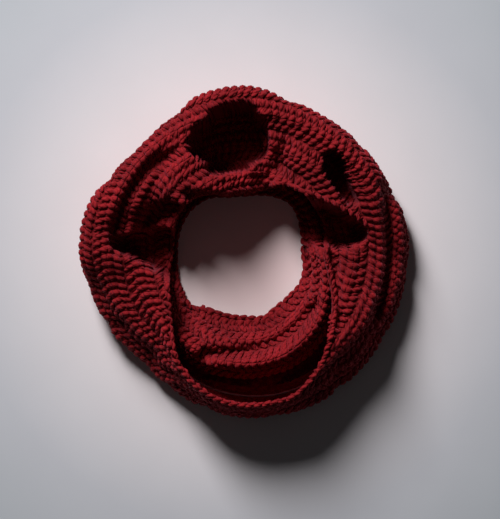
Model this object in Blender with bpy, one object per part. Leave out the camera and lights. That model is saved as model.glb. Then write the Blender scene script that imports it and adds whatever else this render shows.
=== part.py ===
"""Crocheted neck warmer laid down in a ring of two turns, seen as it was dropped on a table.

Plan lengths in the tables are in stitch units: one PLAN_UNIT is the cloth that one eighth of a stitch covers.
Heights are in millimetres. Angles are in degrees, counter-clockwise from the right (+X), with +Y at the back.
Every section is drawn in the plane that stands on its angle: a radius from the ring's middle and a height.
"""

import bmesh
import bpy
import numpy as np

MM = 0.001
PLAN_UNIT = 0.86
WALL = 3.4
ROW_HEIGHT = 13.0
RIB_HEIGHT = 1.1
FLOOR = 15.0
LOW_FLOOR = 8.0
SEAM = 0.3
HEM = 9.0
EDGE_RADIUS = 8.0
MIDDLE_SHIFT = (-0.147, -2.310)

STEP = 15.0

# outer turn: radius of the foot and of the widest place (as parts of the outline), outline radius,
# radius and height of the shoulder, radius and height of the inner edge, how far that edge turns down,
# and the height where it ends
OUTER_COLUMNS = (
    "outline", "foot_in", "belly_in", "belly_z", "rim_in", "rim_z", "lip", "lip_z", "turn", "end_z",
)
OUTER_ROWS = (
    (166.0, 10.0, 0.0, 17.0, 20.0, 48.0, 80.0, 60.0, 0.0, 55.0),
    (163.0, 11.0, 0.0, 24.0, 12.0, 56.0, 84.0, 60.0, 0.0, 55.0),
    (157.5, 12.0, 0.0, 32.0, 5.0, 64.0, 84.0, 62.0, 0.0, 55.0),
    (155.5, 13.0, 0.5, 36.0, 3.0, 68.0, 82.0, 65.0, 0.0, 55.0),
    (154.5, 14.0, 1.0, 38.0, 2.0, 71.0, 77.0, 63.0, 0.0, 50.0),
    (156.5, 16.0, 4.0, 36.0, 1.0, 73.0, 65.0, 46.0, 1.0, 18.0),
    (162.5, 18.0, 8.0, 34.0, 0.0, 74.0, 59.0, 53.0, 1.0, 16.0),
    (160.5, 19.0, 9.0, 34.0, 0.0, 74.0, 59.0, 64.0, 1.0, 16.0),
    (151.0, 19.0, 9.0, 34.0, 0.0, 74.0, 68.0, 75.0, 1.0, 18.0),
    (147.5, 18.0, 8.0, 34.0, 0.0, 73.0, 75.0, 76.0, 0.8, 25.0),
    (152.5, 17.0, 6.0, 34.0, 0.0, 71.0, 76.0, 70.0, 0.0, 50.0),
    (162.0, 15.0, 4.0, 34.0, 1.0, 70.0, 74.0, 62.0, 0.0, 55.0),
    (165.5, 13.0, 1.0, 32.0, 3.0, 66.0, 73.0, 60.0, 0.0, 55.0),
    (160.0, 12.0, 0.0, 22.0, 14.0, 51.0, 80.0, 61.0, 0.0, 54.0),
    (156.5, 11.0, 0.0, 18.0, 19.0, 48.0, 87.0, 61.0, 0.0, 52.0),
    (152.0, 9.0, 0.0, 14.0, 21.0, 44.0, 104.0, 59.0, 0.3, 48.0),
    (155.5, 8.0, 0.0, 14.0, 15.0, 40.0, 130.0, 58.0, 0.0, 50.0),
    (162.5, 8.0, 0.0, 16.0, 7.0, 38.0, 146.0, 60.0, 0.0, 56.0),
    (166.5, 8.0, 0.0, 18.0, 3.0, 38.0, 152.5, 61.0, 0.0, 58.0),
    (168.5, 8.0, 0.0, 18.0, 4.0, 38.0, 152.5, 61.0, 0.0, 58.0),
    (168.0, 8.0, 0.0, 18.0, 18.0, 51.0, 140.0, 62.0, 0.0, 57.0),
    (166.0, 9.0, 0.0, 18.0, 30.0, 63.0, 119.0, 65.0, 0.0, 57.0),
    (164.0, 9.0, 0.0, 17.0, 24.0, 62.0, 103.0, 65.0, 0.0, 57.0),
    (164.5, 10.0, 0.0, 16.0, 19.0, 53.0, 88.0, 61.0, 0.0, 55.0),
)

# inner turn: radius of its loose edge round the hole, radius and height of its ridge,
# radius and height where it ends under the outer turn
INNER_COLUMNS = ("hole", "ridge", "ridge_z", "end", "end_z")
INNER_ROWS = (
    (58.5, 77.0, 47.0, 93.0, 14.0),
    (60.0, 74.0, 8.0, 88.0, 6.5),
    (63.5, 76.0, 7.5, 88.0, 6.5),
    (67.0, 79.0, 7.5, 90.0, 6.5),
    (64.0, 77.0, 7.5, 89.0, 6.5),
    (60.0, 73.0, 7.5, 86.0, 6.5),
    (57.0, 70.0, 7.5, 84.0, 6.5),
    (57.5, 71.0, 7.5, 85.0, 6.5),
    (64.0, 77.0, 7.5, 91.0, 6.5),
    (68.0, 81.0, 7.5, 94.0, 6.5),
    (70.0, 83.0, 7.5, 95.0, 6.5),
    (70.0, 83.0, 7.5, 95.0, 6.5),
    (69.5, 83.0, 7.5, 96.0, 6.5),
    (71.5, 86.0, 9.0, 101.0, 6.5),
    (76.0, 91.0, 20.0, 107.0, 10.0),
    (78.0, 102.0, 36.0, 118.0, 13.0),
    (68.0, 110.0, 41.0, 126.0, 14.0),
    (67.0, 113.0, 42.0, 129.0, 14.0),
    (66.5, 113.0, 41.0, 130.0, 14.0),
    (69.0, 112.0, 41.0, 129.0, 14.0),
    (64.5, 108.0, 45.0, 126.0, 15.0),
    (63.5, 101.0, 48.0, 119.0, 16.0),
    (65.0, 92.0, 52.0, 112.0, 17.0),
    (62.5, 84.0, 52.0, 103.0, 17.0),
)

# hidden layers: height of the floor that shows between the two turns
PILE_ROWS = (8.0, 8.0, 8.0, 8.0, 8.0, 8.0, 8.0, 8.0, 8.0, 8.0, 8.0, 8.0,
             8.0, 8.0, 8.0, 8.0, 9.0, 9.0, 9.0, 9.0, 9.0, 9.0, 8.0, 8.0)

# pockets: share of the height that sinks, half width of the sloping side, outline in plan units
POCKETS = (
    ("back pocket", 1.0, 7.0,
     ((-35, 79), (-39, 90), (-51, 97), (-53, 108), (-48, 119), (-37, 126), (-31, 136), (-18, 142),
      (0, 143), (11, 137), (19, 124), (23, 108), (21, 96), (8, 90), (0, 80), (-17, 78))),
    ("left pocket", 1.0, 7.0,
     ((-60, 20), (-85, 22), (-106, 17), (-124, 12), (-135, 8), (-130, 3), (-118, -2), (-108, -8),
      (-95, -13), (-84, -20), (-77, -30), (-62, -32), (-56, -10))),
    ("left inner hollow", 0.30, 9.0,
     ((-58, 14), (-84, 14), (-108, 12), (-113, 20), (-101, 36), (-89, 46), (-74, 50), (-62, 44))),
    ("right pocket", 1.0, 7.0,
     ((45, 58), (60, 53), (80, 45), (100, 35), (115, 27), (121, 20), (117, 12), (105, 5), (90, 3),
      (76, 7), (62, 12), (49, 22), (42, 45))),
    ("upper right pocket", 0.8, 5.0,
     ((79, 90), (84, 98), (92, 96), (97, 87), (100, 76), (104, 64), (112, 50), (106, 47), (97, 54),
      (88, 64), (82, 77))),
)

# folds: share of the height that sinks (raised when negative), half width, line in plan units
FOLDS = (
    ("right groove", 0.42, 6.0, ((143, 64), (145, 41), (146, 11), (145, -14), (141, -39), (133, -62))),
    ("left rim crease", 0.15, 5.0, ((-82, 94), (-96, 82), (-109, 66), (-118, 51), (-126, 34), (-132, 20))),
    ("left rim ridge", -0.05, 5.0,
     ((-88, 100), (-102, 88), (-116, 70), (-125, 56), (-134, 37), (-141, 21), (-144, 2))),
    ("left middle crease", 0.12, 6.0, ((-72, 96), (-83, 79), (-92, 56), (-100, 31))),
    ("left slope", 0.25, 15.0, ((-92, 34), (-108, 28), (-124, 20))),
    ("right crease", 0.22, 5.0, ((87, -4), (90, -24), (93, -49), (94, -72))),
    ("crossing crease", 0.20, 7.0, ((34, 98), (37, 80), (43, 64))),
)

INNER_FOLDS = (
    ("front groove", 0.46, 6.5, ((-40, -104), (-5, -101), (25, -94), (45, -81), (57, -69), (68, -57))),
    ("front dip", 0.16, 7.0, ((-62, -66), (-30, -74), (0, -76), (28, -72), (50, -55))),
    ("front left dip", 0.50, 6.0, ((-60, -63), (-50, -70))),
)

OUTER_AROUND = 86
OUTER_ACROSS = 24
CROSSING_AROUND = 26
INNER_AROUND = 80
INNER_ACROSS = 11
PILE_AROUND = 56
PILE_FINER = 3
PILE_LAYERS = 2
PILE_ACROSS = 9
PILE_CLEAR = 2.2
PILE_LEAST = 5.0
PILE_MOST = 60.0
PILE_OPEN = 17.0
OPEN_ARCH = (222.0, 240.0, 304.0, 320.0)
UNDER_ARCH = (222.0, 238.0, 333.0, 348.0)
CROSSING_FROM = 6.0
CROSSING_TO = 84.0


def around(rows, column, angles):
    """Value of one table column at any angles, smooth and without overshoot between its rows."""
    values = np.array([row[column] for row in rows]) if column is not None else np.array(rows)
    rise = np.roll(values, -1) - values
    before = np.roll(rise, 1)
    product = before * rise
    total = np.where(product > 0, before + rise, 1.0)
    slope = np.where(product > 0, 2.0 * product / total, 0.0)
    place = np.mod(angles, 360.0) / STEP
    first = np.floor(place).astype(int) % len(values)
    second = (first + 1) % len(values)
    t = place - np.floor(place)
    t2 = t * t
    t3 = t2 * t
    return (
        values[first] * (2 * t3 - 3 * t2 + 1)
        + slope[first] * (t3 - 2 * t2 + t)
        + values[second] * (3 * t2 - 2 * t3)
        + slope[second] * (t3 - t2)
    )


def rounded(corners, times):
    """Corner cutting: each pass swaps a corner for two points on its sides; the ends stay."""
    for _ in range(times):
        near = 0.75 * corners[:, :-1] + 0.25 * corners[:, 1:]
        far = 0.25 * corners[:, :-1] + 0.75 * corners[:, 1:]
        between = np.stack([near, far], axis=2).reshape(len(corners), -1, corners.shape[2])
        corners = np.concatenate([corners[:, :1], between[:, 1:-1], corners[:, -1:]], axis=1)
    return corners


def evenly(curves, count, power):
    """Points at even shares of each section's length, closer towards its end when power is under one."""
    steps = np.linalg.norm(np.diff(curves[:, :, :2], axis=1), axis=2)
    length = np.concatenate([np.zeros((len(curves), 1)), np.cumsum(steps, axis=1)], axis=1)
    share = np.linspace(0.0, 1.0, count) ** power
    result = np.empty((len(curves), count, curves.shape[2] + 1))
    for i in range(len(curves)):
        wanted = share * length[i, -1]
        for k in range(curves.shape[2]):
            result[i, :, k] = np.interp(wanted, length[i], curves[i, :, k])
        result[i, :, -1] = wanted
    return result


def outer_sections(angles):
    """Corners of the outer turn's section: hem, foot, widest place, shoulder, top, inner edge and its end."""
    v = {name: around(OUTER_ROWS, k, angles) for k, name in enumerate(OUTER_COLUMNS)}
    outline = v["outline"] * PLAN_UNIT
    foot = outline - v["foot_in"] * PLAN_UNIT
    belly = outline - v["belly_in"] * PLAN_UNIT + 0.8
    rim = outline - v["rim_in"] * PLAN_UNIT + 0.8
    lip = v["lip"] * PLAN_UNIT
    turn = v["turn"]
    bend = 0.5 * np.pi * turn
    reach = EDGE_RADIUS * np.tan(0.5 * bend)
    tail = 0.8 + 2.0 * reach + turn**3 * np.maximum(v["lip_z"] - v["end_z"] - 2.0 * EDGE_RADIUS, 0.0)
    crest = lip + tail * np.cos(bend)
    hang = np.minimum(0.6 * tail, 1.5 * EDGE_RADIUS)
    room = np.clip((rim - crest) / 40.0, 0.12, 1.0)
    rim_top = rim - 9.0 * room
    hold = np.minimum(0.2 * (rim_top - crest), 1.5 * EDGE_RADIUS)
    top_a = rim_top + (crest - rim_top) * 0.36
    top_b = rim_top + (crest - rim_top) * 0.70
    crown = 0.03 * np.maximum(rim_top - crest, 0.0)
    za = v["rim_z"] + (v["lip_z"] - v["rim_z"]) * 0.42 + crown
    zb = v["rim_z"] + (v["lip_z"] - v["rim_z"]) * 0.76 + crown
    zero = np.zeros_like(angles)
    corners = (
        (foot - HEM, zero, 0.0),
        (foot - 3.0, zero, 1.0),
        (foot + (belly - foot) * 0.7, 0.10 * v["rim_z"], 2.0),
        (belly, v["belly_z"], 3.0),
        (0.35 * belly + 0.65 * rim, 0.45 * v["belly_z"] + 0.55 * v["rim_z"], 4.0),
        (rim, v["rim_z"] - 5.0, 5.0),
        (rim_top, v["rim_z"], 6.0),
        (top_a, za, 7.0),
        (top_b, zb, 8.0),
        (crest + hold, v["lip_z"], 8.6),
        (crest, v["lip_z"], 9.0),
        (crest - hang * np.cos(bend), v["lip_z"] - hang * np.sin(bend), 9.4),
        (lip, v["lip_z"] - tail * np.sin(bend), 10.0),
    )
    return np.stack([np.stack([r, z, zero + mark], axis=1) for r, z, mark in corners], axis=1)


def inner_sections(angles):
    """Corners of the inner turn's section: end under the outer turn, ridge, slope and loose edge."""
    v = {name: around(INNER_ROWS, k, angles) for k, name in enumerate(INNER_COLUMNS)}
    hole = v["hole"] * PLAN_UNIT
    ridge = v["ridge"] * PLAN_UNIT
    end = v["end"] * PLAN_UNIT
    low = WALL
    rise = v["ridge_z"] - low
    zero = np.zeros_like(angles)
    span = ridge - hole
    back = end - ridge
    corners = (
        (end, v["end_z"], 0.0),
        (ridge + 0.86 * back, low + 0.36 * rise, 1.0),
        (ridge + 0.54 * back, low + 0.80 * rise, 2.0),
        (ridge, low + 1.04 * rise, 3.0),
        (hole + 0.74 * span, low + 0.86 * rise, 4.0),
        (hole + 0.45 * span, low + 0.46 * rise, 5.0),
        (hole + 0.16 * span, zero + low + 0.05 * rise, 6.0),
        (hole, zero + low, 7.0),
    )
    return np.stack([np.stack([r, z, zero + mark], axis=1) for r, z, mark in corners], axis=1)


def line_distance(x, y, line, closed):
    """Distance from points to a line of short straight parts."""
    ends = list(zip(line, line[1:]))
    if closed:
        ends.append((line[-1], line[0]))
    best = np.full(x.shape, 1e9)
    for (ax, ay), (bx, by) in ends:
        dx = bx - ax
        dy = by - ay
        t = np.clip(((x - ax) * dx + (y - ay) * dy) / (dx * dx + dy * dy), 0.0, 1.0)
        best = np.minimum(best, np.hypot(x - ax - t * dx, y - ay - t * dy))
    return best


def is_inside(x, y, line):
    inside = np.zeros(x.shape, bool)
    for (ax, ay), (bx, by) in zip(line, line[1:] + line[:1]):
        crosses = (ay > y) != (by > y)
        at = ax + (y - ay) * (bx - ax) / (by - ay if by != ay else 1e-9)
        inside ^= crosses & (x < at)
    return inside


def sunk_share(x, y, pockets, folds):
    """Share of the height above FLOOR that pockets and folds take away at each plan point."""
    left = np.ones(x.shape)
    for _, share, side, outline in pockets:
        away = line_distance(x, y, outline, True)
        away = np.where(is_inside(x, y, outline), -away, away)
        t = np.clip((side - away) / (2.0 * side), 0.0, 1.0)
        left *= 1.0 - share * t * t * (3.0 - 2.0 * t)
    for _, share, side, line in folds:
        away = line_distance(x, y, line, False)
        left *= 1.0 - share * np.exp(-((away / side) ** 2))
    return 1.0 - left


def widened(values):
    """Largest value of each grid point and its neighbours."""
    padded = np.pad(values, 1, mode="edge")
    n, m = values.shape
    return np.max([padded[i:i + n, j:j + m] for i in range(3) for j in range(3)], axis=0)


def wall_points(angles, sections, count, power, pockets, folds, ribs_from, floor):
    """Outer and inner points of a cloth wall: ribs on the outside only, pockets and folds in both."""
    curve = evenly(rounded(sections, 3), count, power)
    r = curve[:, :, 0]
    z = curve[:, :, 1]
    along = np.gradient(r, axis=1), np.gradient(z, axis=1)
    size = np.hypot(*along)
    nr = along[1] / size
    nz = -along[0] / size
    start = np.array([np.interp(ribs_from, curve[i, :, 2], curve[i, :, 3]) for i in range(len(angles))])
    rib = RIB_HEIGHT * (0.5 + 0.5 * np.cos(np.pi * (curve[:, :, 3] - start[:, None]) / ROW_HEIGHT))
    rib = rib * np.clip(z / 8.0 - 0.6, 0.0, 1.0)
    turn = np.radians(angles)[:, None]
    sunk = sunk_share(r * np.cos(turn) / PLAN_UNIT, r * np.sin(turn) / PLAN_UNIT, pockets, folds)
    sunk = sunk * np.clip((z - floor) / 3.0, 0.0, 1.0)
    z = z - np.maximum(z - floor, 0.0) * sunk
    lay = np.clip(3.0 * widened(sunk), 0.0, 1.0) * np.clip(2.5 * nz, 0.0, 1.0)
    wr = nr * (1.0 - lay)
    wz = nz * (1.0 - lay) + lay
    size = np.hypot(wr, wz)
    inner_r = r - WALL * wr / size
    inner_z = np.maximum(z - WALL * wz / size, 0.0)
    outer_r = r + rib * wr / size
    outer_z = z + rib * wz / size
    outer = np.stack([outer_r * np.cos(turn), outer_r * np.sin(turn), outer_z], axis=2)
    inner = np.stack([inner_r * np.cos(turn), inner_r * np.sin(turn), inner_z], axis=2)
    return outer, inner


def wall_mesh(outer, inner, closed):
    """Faces of a wall between two grids of points; the grid runs round the ring, then across the cloth."""
    n, m = outer.shape[:2]
    points = np.concatenate([outer.reshape(-1, 3), inner.reshape(-1, 3)])
    back = n * m
    faces = []
    for i in range(n if closed else n - 1):
        k = (i + 1) % n
        a = i * m
        b = k * m
        for j in range(m - 1):
            falling = np.linalg.norm(outer[i, j] - outer[k, j + 1])
            rising = np.linalg.norm(outer[k, j] - outer[i, j + 1])
            if falling < rising:
                halves = ((a + j, b + j, b + j + 1), (a + j, b + j + 1, a + j + 1))
            else:
                halves = ((a + j, b + j, a + j + 1), (b + j, b + j + 1, a + j + 1))
            for p, q, t in halves:
                faces.append((p, q, t))
                faces.append((back + p, back + t, back + q))
        faces.append((a, back + a, back + b, b))
        faces.append((a + m - 1, b + m - 1, back + b + m - 1, back + a + m - 1))
    if not closed:
        last = (n - 1) * m
        for j in range(m - 1):
            faces.append((j, j + 1, back + j + 1, back + j))
            faces.append((last + j, back + last + j, back + last + j + 1, last + j + 1))
    return points, faces


def outer_wall_points(angles, across):
    """Outside and inside of the outer turn's wall, or of the crossing stretch, at any angles."""
    return wall_points(angles, outer_sections(angles), across, 0.9, POCKETS, FOLDS, 9.0, FLOOR)


def inner_wall_points(angles, across):
    """Outside and inside of the inner turn's wall at any angles."""
    return wall_points(angles, inner_sections(angles), across, 1.0, POCKETS, INNER_FOLDS, 3.0, LOW_FLOOR)


def least_height(grid, reach):
    """Least height of a grid's sections at every angle and radius, a large one where none is overhead."""
    height = np.full((len(grid), len(reach)), 1000.0)
    for i in range(len(grid)):
        r = np.hypot(grid[i, :, 0], grid[i, :, 1])
        z = grid[i, :, 2]
        for k in range(len(r) - 1):
            low = min(r[k], r[k + 1])
            high = max(r[k], r[k + 1])
            near = (reach > low - PILE_CLEAR) & (reach < high + PILE_CLEAR)
            t = np.clip((reach[near] - r[k]) / (r[k + 1] - r[k] if r[k + 1] != r[k] else 1e-6), 0.0, 1.0)
            height[i, near] = np.minimum(height[i, near], z[k] + t * (z[k + 1] - z[k]))
    return height


def pile_mesh(angles):
    """Hidden layers: a ring with a flat underside that fills the hollow under both turns."""
    outer = {name: around(OUTER_ROWS, k, angles) for k, name in enumerate(OUTER_COLUMNS)}
    inner = {name: around(INNER_ROWS, k, angles) for k, name in enumerate(INNER_COLUMNS)}
    finer = np.arange(PILE_FINER * len(angles)) * 360.0 / (PILE_FINER * len(angles))
    overhead = outer_wall_points(finer, 3 * OUTER_ACROSS) + inner_wall_points(finer, 3 * INNER_ACROSS)
    beside = inner["end"] * PLAN_UNIT + 2.6
    below = (0.5 * inner["hole"] + 0.5 * inner["ridge"]) * PLAN_UNIT
    lifted = np.interp(angles, UNDER_ARCH, (0.0, 1.0, 1.0, 0.0))
    lifted = lifted * lifted * (3.0 - 2.0 * lifted)
    near = beside + (below - beside) * lifted
    far = (outer["outline"] - outer["foot_in"]) * PLAN_UNIT - HEM - 1.6
    bulge = 0.9
    share = np.linspace(0.0, 1.0, PILE_ACROSS)
    radii = near[:, None] + 2.0 + (far - near - 4.0)[:, None] * share
    reach = np.arange(50.0, 150.0, 0.5)
    over = np.min([least_height(grid, reach) for grid in overhead], axis=0)
    over = np.min([np.roll(over, k, axis=0) for k in range(-PILE_FINER, PILE_FINER + 1)], axis=0)
    over = over[::PILE_FINER]
    over = np.min([np.roll(over, k, axis=1) for k in range(-8, 9)], axis=0)
    top = np.array([np.interp(radii[i], reach, over[i]) for i in range(len(angles))]) - PILE_CLEAR
    top = np.where(top > 200.0, around(PILE_ROWS, None, angles)[:, None], top)
    most = np.interp(angles, OPEN_ARCH, (PILE_MOST, PILE_OPEN, PILE_OPEN, PILE_MOST))
    top = np.clip(top, PILE_LEAST, most[:, None])
    turn = np.radians(angles)[:, None]
    columns = [(near[:, None] + 1.2, 0.0 * turn)]
    columns.append((far[:, None] - 1.2, 0.0 * turn))
    for k in range(PILE_LAYERS):
        for inset, level in ((bulge, k + 0.12), (0.0, k + 0.5), (bulge, k + 0.88)):
            columns.append((far[:, None] - inset, top[:, -1:] * level / PILE_LAYERS))
    for j in reversed(range(PILE_ACROSS)):
        columns.append((radii[:, j:j + 1], top[:, j:j + 1]))
    for k in reversed(range(PILE_LAYERS)):
        for inset, level in ((bulge, k + 0.88), (0.0, k + 0.5), (bulge, k + 0.12)):
            columns.append((near[:, None] + inset, top[:, :1] * level / PILE_LAYERS))
    rings = [np.concatenate([r * np.cos(turn), r * np.sin(turn), z], axis=1) for r, z in columns]
    grid = np.stack(rings, axis=1)
    n, m = grid.shape[:2]
    faces = []
    for i in range(n):
        a = i * m
        b = ((i + 1) % n) * m
        for j in range(m):
            k = (j + 1) % m
            faces.append((a + j, b + j, b + k, a + k))
    return grid.reshape(-1, 3), faces


def add_object(name, points, faces, colour):
    mesh = bpy.data.meshes.new(name)
    shifted = (points - np.array([MIDDLE_SHIFT[0], MIDDLE_SHIFT[1], 0.0])) * MM
    mesh.from_pydata(shifted.tolist(), [], faces)
    shape = bmesh.new()
    shape.from_mesh(mesh)
    bmesh.ops.recalc_face_normals(shape, faces=shape.faces)
    bmesh.ops.triangulate(shape, faces=shape.faces)
    shape.to_mesh(mesh)
    shape.free()
    material = bpy.data.materials.new(name + "_yarn")
    material.use_nodes = True
    shader = material.node_tree.nodes["Principled BSDF"]
    shader.inputs["Base Color"].default_value = colour
    shader.inputs["Roughness"].default_value = 0.9
    mesh.materials.append(material)
    mesh.shade_smooth()
    item = bpy.data.objects.new(name, mesh)
    collection.objects.link(item)
    return item


for old in list(bpy.data.objects):
    bpy.data.objects.remove(old, do_unlink=True)

collection = bpy.data.collections.new("neck_warmer")
bpy.context.scene.collection.children.link(collection)

seam_angle = np.degrees(SEAM / 110.0)

# outer turn, from the back over the left and the front to the right
outer_angles = np.linspace(CROSSING_TO, 360.0 + CROSSING_FROM, OUTER_AROUND)
outer_turn = wall_mesh(*outer_wall_points(outer_angles, OUTER_ACROSS), False)
add_object("outer_turn", *outer_turn, (0.30, 0.012, 0.022, 1.0))

# stretch that crosses at the upper right
crossing_angles = np.linspace(CROSSING_FROM + seam_angle, CROSSING_TO - seam_angle, CROSSING_AROUND)
crossing = wall_mesh(*outer_wall_points(crossing_angles, OUTER_ACROSS), False)
add_object("crossing_stretch", *crossing, (0.32, 0.013, 0.024, 1.0))

# inner turn, round the hole
inner_angles = np.arange(INNER_AROUND) * 360.0 / INNER_AROUND
inner_turn = wall_mesh(*inner_wall_points(inner_angles, INNER_ACROSS), True)
add_object("inner_turn", *inner_turn, (0.34, 0.014, 0.026, 1.0))

# hidden layers under both turns
pile_angles = np.arange(PILE_AROUND) * 360.0 / PILE_AROUND
add_object("hidden_layers", *pile_mesh(pile_angles), (0.22, 0.009, 0.016, 1.0))
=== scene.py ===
"""Looks of the crocheted neck warmer: yarn-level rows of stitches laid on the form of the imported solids.

Plan lengths in the tables are in plan units of PLAN_UNIT millimetres, about an eighth of a stitch's width.
Heights are in millimetres. Angles are in degrees, counter-clockwise from the right (+X); +Y is the back.
"""

import bmesh
import bpy
import numpy as np
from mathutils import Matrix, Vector


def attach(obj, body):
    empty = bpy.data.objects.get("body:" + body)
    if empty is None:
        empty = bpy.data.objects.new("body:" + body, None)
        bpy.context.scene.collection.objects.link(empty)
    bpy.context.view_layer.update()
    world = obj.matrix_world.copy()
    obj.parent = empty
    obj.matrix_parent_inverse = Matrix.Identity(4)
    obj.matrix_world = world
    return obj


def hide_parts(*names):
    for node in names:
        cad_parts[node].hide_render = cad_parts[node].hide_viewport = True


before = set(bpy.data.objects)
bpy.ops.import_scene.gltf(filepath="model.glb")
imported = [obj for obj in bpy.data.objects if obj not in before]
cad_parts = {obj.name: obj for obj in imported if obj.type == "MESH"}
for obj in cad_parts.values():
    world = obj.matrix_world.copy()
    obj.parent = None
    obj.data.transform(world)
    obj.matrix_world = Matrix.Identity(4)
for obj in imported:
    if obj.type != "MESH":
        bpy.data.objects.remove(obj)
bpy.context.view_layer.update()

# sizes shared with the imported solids, in millimetres: the cloth's wall, a row's width, the lowest bottom
# of a pocket in the outer and in the inner turn, the hem's width, and the inner edge's bend
MM = 0.001
PLAN_UNIT = 0.86
WALL = 3.4
ROW_HEIGHT = 13.0
FLOOR = 15.0
LOW_FLOOR = 8.0
HEM = 9.0
EDGE_RADIUS = 8.0

# how far the solids' middle lies from the middle of the tables
MIDDLE_SHIFT = (-0.147, -2.310)

# outer section: the hem's bend, how far the sides stand out past the outline, the shoulder's width where
# the top is SHOULDER_ROOM wide, its least share elsewhere, its drop, and the edge's least length
HEM_BEND = 3.0
SIDE_EASE = 0.8
SHOULDER_WIDTH = 9.0
SHOULDER_ROOM = 40.0
SHOULDER_LEAST = 0.12
SHOULDER_DROP = 5.0
LEAST_TAIL = 0.8

# step between the rows of the tables, in degrees
STEP = 15.0

# outer turn: radius of the foot and of the widest place (as parts of the outline), outline radius,
# radius and height of the shoulder, radius and height of the inner edge, how far that edge turns down,
# and the height where it ends
OUTER_COLUMNS = (
    "outline", "foot_in", "belly_in", "belly_z", "rim_in", "rim_z", "lip", "lip_z", "turn", "end_z",
)
OUTER_ROWS = (
    (166.0, 10.0, 0.0, 17.0, 20.0, 48.0, 80.0, 60.0, 0.0, 55.0),
    (163.0, 11.0, 0.0, 24.0, 12.0, 56.0, 84.0, 60.0, 0.0, 55.0),
    (157.5, 12.0, 0.0, 32.0, 5.0, 64.0, 84.0, 62.0, 0.0, 55.0),
    (155.5, 13.0, 0.5, 36.0, 3.0, 68.0, 82.0, 65.0, 0.0, 55.0),
    (154.5, 14.0, 1.0, 38.0, 2.0, 71.0, 77.0, 63.0, 0.0, 50.0),
    (156.5, 16.0, 4.0, 36.0, 1.0, 73.0, 65.0, 46.0, 1.0, 18.0),
    (162.5, 18.0, 8.0, 34.0, 0.0, 74.0, 59.0, 53.0, 1.0, 16.0),
    (160.5, 19.0, 9.0, 34.0, 0.0, 74.0, 59.0, 64.0, 1.0, 16.0),
    (151.0, 19.0, 9.0, 34.0, 0.0, 74.0, 68.0, 75.0, 1.0, 18.0),
    (147.5, 18.0, 8.0, 34.0, 0.0, 73.0, 75.0, 76.0, 0.8, 25.0),
    (152.5, 17.0, 6.0, 34.0, 0.0, 71.0, 76.0, 70.0, 0.0, 50.0),
    (162.0, 15.0, 4.0, 34.0, 1.0, 70.0, 74.0, 62.0, 0.0, 55.0),
    (165.5, 13.0, 1.0, 32.0, 3.0, 66.0, 73.0, 60.0, 0.0, 55.0),
    (160.0, 12.0, 0.0, 22.0, 14.0, 51.0, 80.0, 61.0, 0.0, 54.0),
    (156.5, 11.0, 0.0, 18.0, 19.0, 48.0, 87.0, 61.0, 0.0, 52.0),
    (152.0, 9.0, 0.0, 14.0, 21.0, 44.0, 104.0, 59.0, 0.3, 48.0),
    (155.5, 8.0, 0.0, 14.0, 15.0, 40.0, 130.0, 58.0, 0.0, 50.0),
    (162.5, 8.0, 0.0, 16.0, 7.0, 38.0, 146.0, 60.0, 0.0, 56.0),
    (166.5, 8.0, 0.0, 18.0, 3.0, 38.0, 152.5, 61.0, 0.0, 58.0),
    (168.5, 8.0, 0.0, 18.0, 4.0, 38.0, 152.5, 61.0, 0.0, 58.0),
    (168.0, 8.0, 0.0, 18.0, 18.0, 51.0, 140.0, 62.0, 0.0, 57.0),
    (166.0, 9.0, 0.0, 18.0, 30.0, 63.0, 119.0, 65.0, 0.0, 57.0),
    (164.0, 9.0, 0.0, 17.0, 24.0, 62.0, 103.0, 65.0, 0.0, 57.0),
    (164.5, 10.0, 0.0, 16.0, 19.0, 53.0, 88.0, 61.0, 0.0, 55.0),
)

# inner turn: radius of its loose edge round the hole, radius and height of its ridge,
# radius and height where it ends under the outer turn
INNER_COLUMNS = ("hole", "ridge", "ridge_z", "end", "end_z")
INNER_ROWS = (
    (58.5, 77.0, 47.0, 93.0, 14.0),
    (60.0, 74.0, 8.0, 88.0, 6.5),
    (63.5, 76.0, 7.5, 88.0, 6.5),
    (67.0, 79.0, 7.5, 90.0, 6.5),
    (64.0, 77.0, 7.5, 89.0, 6.5),
    (60.0, 73.0, 7.5, 86.0, 6.5),
    (57.0, 70.0, 7.5, 84.0, 6.5),
    (57.5, 71.0, 7.5, 85.0, 6.5),
    (64.0, 77.0, 7.5, 91.0, 6.5),
    (68.0, 81.0, 7.5, 94.0, 6.5),
    (70.0, 83.0, 7.5, 95.0, 6.5),
    (70.0, 83.0, 7.5, 95.0, 6.5),
    (69.5, 83.0, 7.5, 96.0, 6.5),
    (71.5, 86.0, 9.0, 101.0, 6.5),
    (76.0, 91.0, 20.0, 107.0, 10.0),
    (78.0, 102.0, 36.0, 118.0, 13.0),
    (68.0, 110.0, 41.0, 126.0, 14.0),
    (67.0, 113.0, 42.0, 129.0, 14.0),
    (66.5, 113.0, 41.0, 130.0, 14.0),
    (69.0, 112.0, 41.0, 129.0, 14.0),
    (64.5, 108.0, 45.0, 126.0, 15.0),
    (63.5, 101.0, 48.0, 119.0, 16.0),
    (65.0, 92.0, 52.0, 112.0, 17.0),
    (62.5, 84.0, 52.0, 103.0, 17.0),
)

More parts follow.
